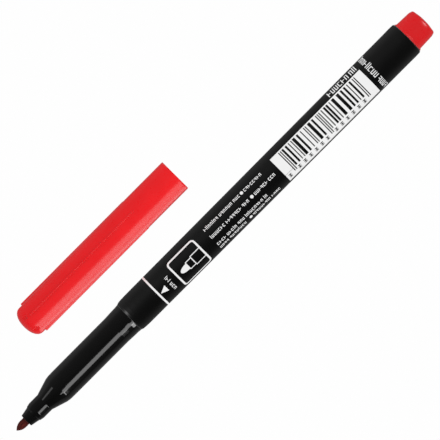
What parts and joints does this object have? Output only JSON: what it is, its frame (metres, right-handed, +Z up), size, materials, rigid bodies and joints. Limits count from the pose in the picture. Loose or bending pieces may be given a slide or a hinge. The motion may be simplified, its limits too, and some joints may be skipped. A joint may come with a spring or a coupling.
{
  "type": "fibre-tip marker",
  "caption": "Slim capped marker pen: round tapered barrel, stepped nose with a bullet fibre nib, rear plug, and a domed ribbed cap lying beside it.",
  "frame": {"origin": "middle of the whole outline, pen and cap together, at table height", "axes": "+X along the pen from the writing tip to the rear plug, +Y from the pen to the cap lying beside it, +Z up from the table"},
  "size_m": [0.1352, 0.0248, 0.0092],
  "materials": {
    "barrel_plastic": "satin moulded black with a pale print",
    "print_ink": "thin white printing ink",
    "nose_plastic": "glossy moulded black",
    "nib_fibre": "ink-soaked bonded fibre",
    "ink_fibre": "ink-soaked fibre bundle",
    "reservoir_film": "thin clear film",
    "red_plastic": "smooth moulded red",
    "seal_plastic": "smooth natural polymer"
  },
  "bodies": {
    "pen": {"barrel": "barrel_plastic", "nose_section": "nose_plastic", "nib": "nib_fibre", "ink_reservoir": "ink_fibre", "reservoir_wrap": "reservoir_film", "rear_plug": "red_plastic"},
    "cap": {"cap_shell": "red_plastic", "cap_inner_seal": "seal_plastic"}
  },
  "joints": [
    {"name": "cap_slide", "type": "slide", "parent": "pen", "child": "cap", "axis": [1, 0, 0], "range_m": [-0.07, 0]}
  ]
}
